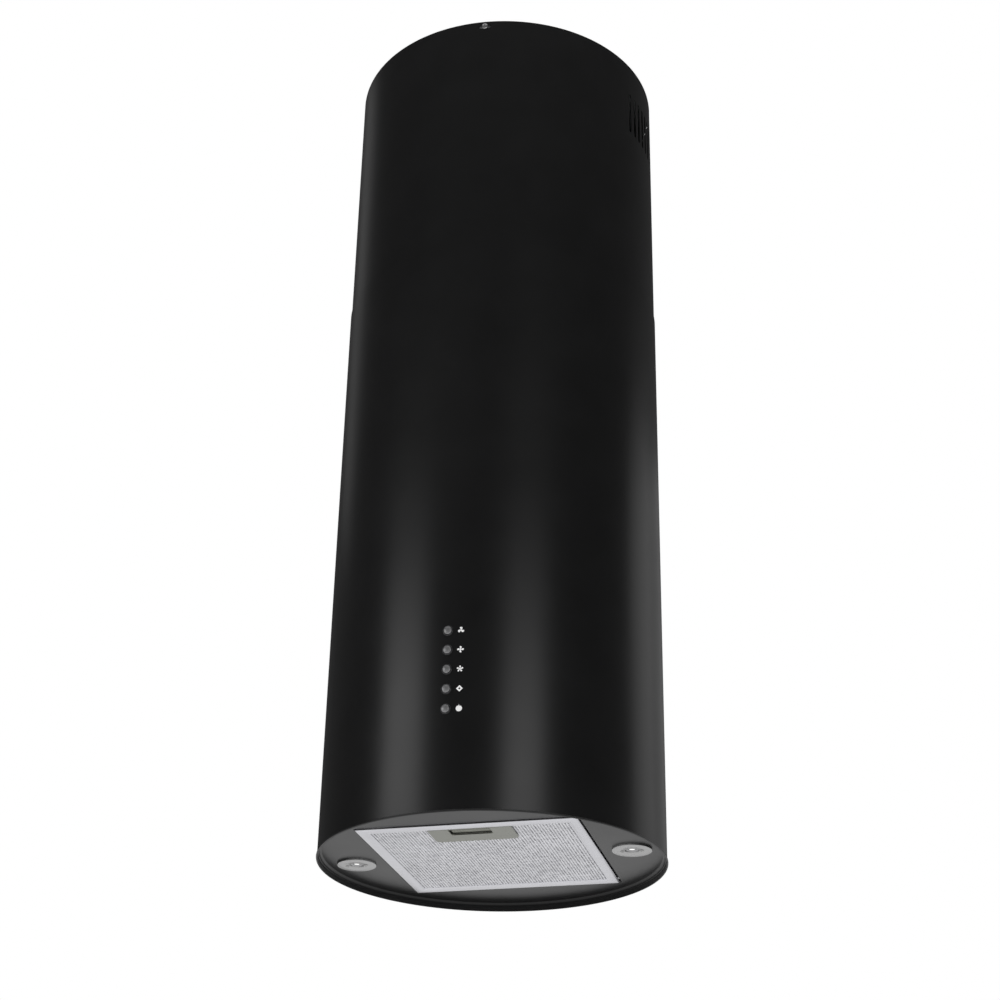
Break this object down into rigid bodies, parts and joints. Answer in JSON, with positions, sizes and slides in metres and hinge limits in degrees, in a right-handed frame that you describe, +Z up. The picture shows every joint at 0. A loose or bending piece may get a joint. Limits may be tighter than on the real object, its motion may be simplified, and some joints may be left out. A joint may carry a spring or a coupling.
{
  "type": "island range hood",
  "caption": "Cylindrical ceiling-hung island extractor hood: telescopic black chimney, push buttons, round base panel with spot lights and a hinged square grease filter.",
  "frame": {"origin": "centre of the ceiling plate's top face, on the axis of the hood", "axes": "+Z up, out of the ceiling plate into the ceiling; -Y towards the buttons (front); +X to the right when facing the hood from the front"},
  "size_m": [0.352, 0.3538, 0.94],
  "materials": {
    "galvanised_steel": "bare galvanised sheet",
    "zinc_fasteners": "zinc plated",
    "black_enamel": "satin black enamel",
    "black_panel": "satin black enamel",
    "plated_screws": "nickel plated",
    "casing_plastic": "moulded",
    "grey_plastic": "moulded",
    "motor_aluminium": "die cast",
    "white_plastic": "moulded",
    "black_plastic": "moulded",
    "dark_plastic": "moulded",
    "bright_steel": "bright steel",
    "circuit_board": "solder mask",
    "ivory_plastic": "moulded",
    "satin_chrome": "satin chrome",
    "button_metal": "satin turned cap",
    "lens": "frosted",
    "satin_silver": "satin silver",
    "heat_sink": "anodised",
    "filter_aluminium": "mill finish",
    "mesh_aluminium": "expanded mesh",
    "handle_grey": "grey satin",
    "latch_grey": "moulded"
  },
  "bodies": {
    "ceiling_frame": {"ceiling_plate": "galvanised_steel", "upper_struts": "galvanised_steel", "strut_foot_screws": "zinc_fasteners"},
    "chimney": {"chimney_tube": "black_enamel", "chimney_screws": "plated_screws"},
    "hood": {"lower_tube": "black_enamel", "base_panel": "black_panel", "lower_struts": "galvanised_steel", "strut_clamp_bolts": "zinc_fasteners", "upper_brace": "galvanised_steel", "frame_screws": "zinc_fasteners", "blower_plate": "galvanised_steel", "volute_left": "casing_plastic", "volute_right": "casing_plastic", "inlet_ring_left": "grey_plastic", "inlet_ring_right": "grey_plastic", "inlet_guard": "galvanised_steel", "motor_bracket": "galvanised_steel", "motor_body": "motor_aluminium", "capacitor": "white_plastic", "outlet_collar": "black_plastic", "damper_pin": "bright_steel", "control_bracket": "galvanised_steel", "control_box": "white_plastic", "control_box_lid": "white_plastic", "control_board": "circuit_board", "terminal_block": "ivory_plastic", "cable_gland": "black_plastic", "led_driver": "white_plastic", "switch_housing": "black_plastic", "switch_board": "circuit_board", "tact_switches": "dark_plastic", "switch_studs": "bright_steel", "button_rings": "satin_chrome", "led_bezel_left": "satin_silver", "led_bezel_right": "satin_silver", "led_lens_left": "lens", "led_lens_right": "lens", "led_body_left": "heat_sink", "led_body_right": "heat_sink", "led_clips": "bright_steel", "led_screws": "plated_screws"},
    "fan": {"impeller": "dark_plastic", "motor_shaft": "bright_steel"},
    "flap_front": {"damper_flap_front": "grey_plastic"},
    "flap_rear": {"damper_flap_rear": "grey_plastic"},
    "filter": {"filter_frame": "filter_aluminium", "filter_mesh_lower": "mesh_aluminium", "filter_mesh_core": "mesh_aluminium", "filter_mesh_upper": "mesh_aluminium", "filter_handle": "handle_grey", "filter_pivot_pins": "bright_steel", "latch_spring": "bright_steel"},
    "latch": {"filter_latch": "latch_grey"},
    "key_power": {"button_power": "button_metal"},
    "key_light": {"button_light": "button_metal"},
    "key_fan_high": {"button_fan_high": "button_metal"},
    "key_fan_medium": {"button_fan_medium": "button_metal"},
    "key_fan_low": {"button_fan_low": "button_metal"}
  },
  "joints": [
    {"name": "hood_height", "type": "slide", "parent": "ceiling_frame", "child": "hood", "axis": [0, 0, 1], "range_m": [-0.12, 0.18]},
    {"name": "chimney_slide", "type": "slide", "parent": "ceiling_frame", "child": "chimney", "axis": [0, 0, 1], "range_m": [-0.1, 0]},
    {"name": "fan_spin", "type": "hinge", "parent": "hood", "child": "fan", "pos_m": [0, -0.02, -0.63], "axis": [1, 0, 0], "continuous": true},
    {"name": "flap_front_swing", "type": "hinge", "parent": "hood", "child": "flap_front", "pos_m": [0, 0, -0.486], "axis": [-1, 0, 0], "range_deg": [0, 75]},
    {"name": "flap_rear_swing", "type": "hinge", "parent": "hood", "child": "flap_rear", "pos_m": [0, 0, -0.486], "axis": [1, 0, 0], "range_deg": [0, 75]},
    {"name": "filter_swing", "type": "hinge", "parent": "hood", "child": "filter", "pos_m": [0, 0.104, -0.9285], "axis": [1, 0, 0], "range_deg": [0, 70]},
    {"name": "latch_slide", "type": "slide", "parent": "filter", "child": "latch", "axis": [0, 1, 0], "range_m": [0, 0.005], "stiffness_N_per_m": 500, "springref_m": -0.004, "deforming": ["latch_spring"]},
    {"name": "press_power", "type": "slide", "parent": "hood", "child": "key_power", "axis": [0, 1, 0], "range_m": [0, 0.0015], "stiffness_N_per_m": 800, "springref_m": -0.001},
    {"name": "press_light", "type": "slide", "parent": "hood", "child": "key_light", "axis": [0, 1, 0], "range_m": [0, 0.0015], "stiffness_N_per_m": 800, "springref_m": -0.001},
    {"name": "press_fan_high", "type": "slide", "parent": "hood", "child": "key_fan_high", "axis": [0, 1, 0], "range_m": [0, 0.0015], "stiffness_N_per_m": 800, "springref_m": -0.001},
    {"name": "press_fan_medium", "type": "slide", "parent": "hood", "child": "key_fan_medium", "axis": [0, 1, 0], "range_m": [0, 0.0015], "stiffness_N_per_m": 800, "springref_m": -0.001},
    {"name": "press_fan_low", "type": "slide", "parent": "hood", "child": "key_fan_low", "axis": [0, 1, 0], "range_m": [0, 0.0015], "stiffness_N_per_m": 800, "springref_m": -0.001}
  ]
}
